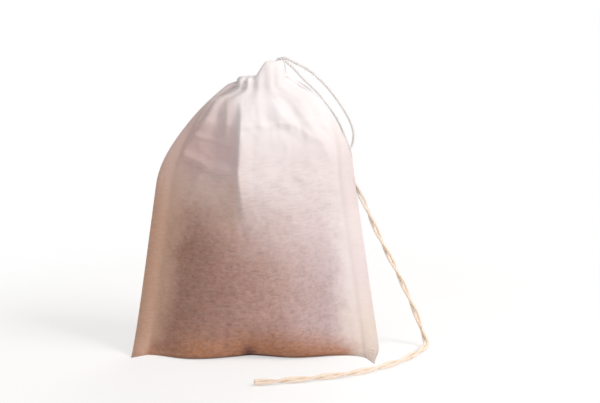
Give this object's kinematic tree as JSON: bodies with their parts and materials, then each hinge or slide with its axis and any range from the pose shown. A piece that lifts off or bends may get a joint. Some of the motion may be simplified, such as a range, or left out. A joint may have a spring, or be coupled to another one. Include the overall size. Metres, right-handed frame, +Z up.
{
  "type": "drawstring tea bag",
  "caption": "Filled drawstring tea bag of thin filter paper, gathered shut at its hem, with loose tea inside and two twisted string tails.",
  "frame": {"origin": "On the table, under the middle of the bag without its free string tails.", "axes": "X runs across the bag from seam to seam, Y through it with the front facing -Y, Z up."},
  "size_m": [0.0831, 0.0438, 0.0822],
  "materials": {
    "filter_paper": "matte, thin and translucent, with fine fibres",
    "dried_tea": "matte dry leaf",
    "cotton_string": "matte twisted cotton"
  },
  "bodies": {
    "root": {"filter_bag": "filter_paper", "tea_leaves": "dried_tea", "drawstring_in_hem": "cotton_string", "drawstring_tail_left": "cotton_string", "drawstring_tail_right": "cotton_string"}
  },
  "joints": []
}
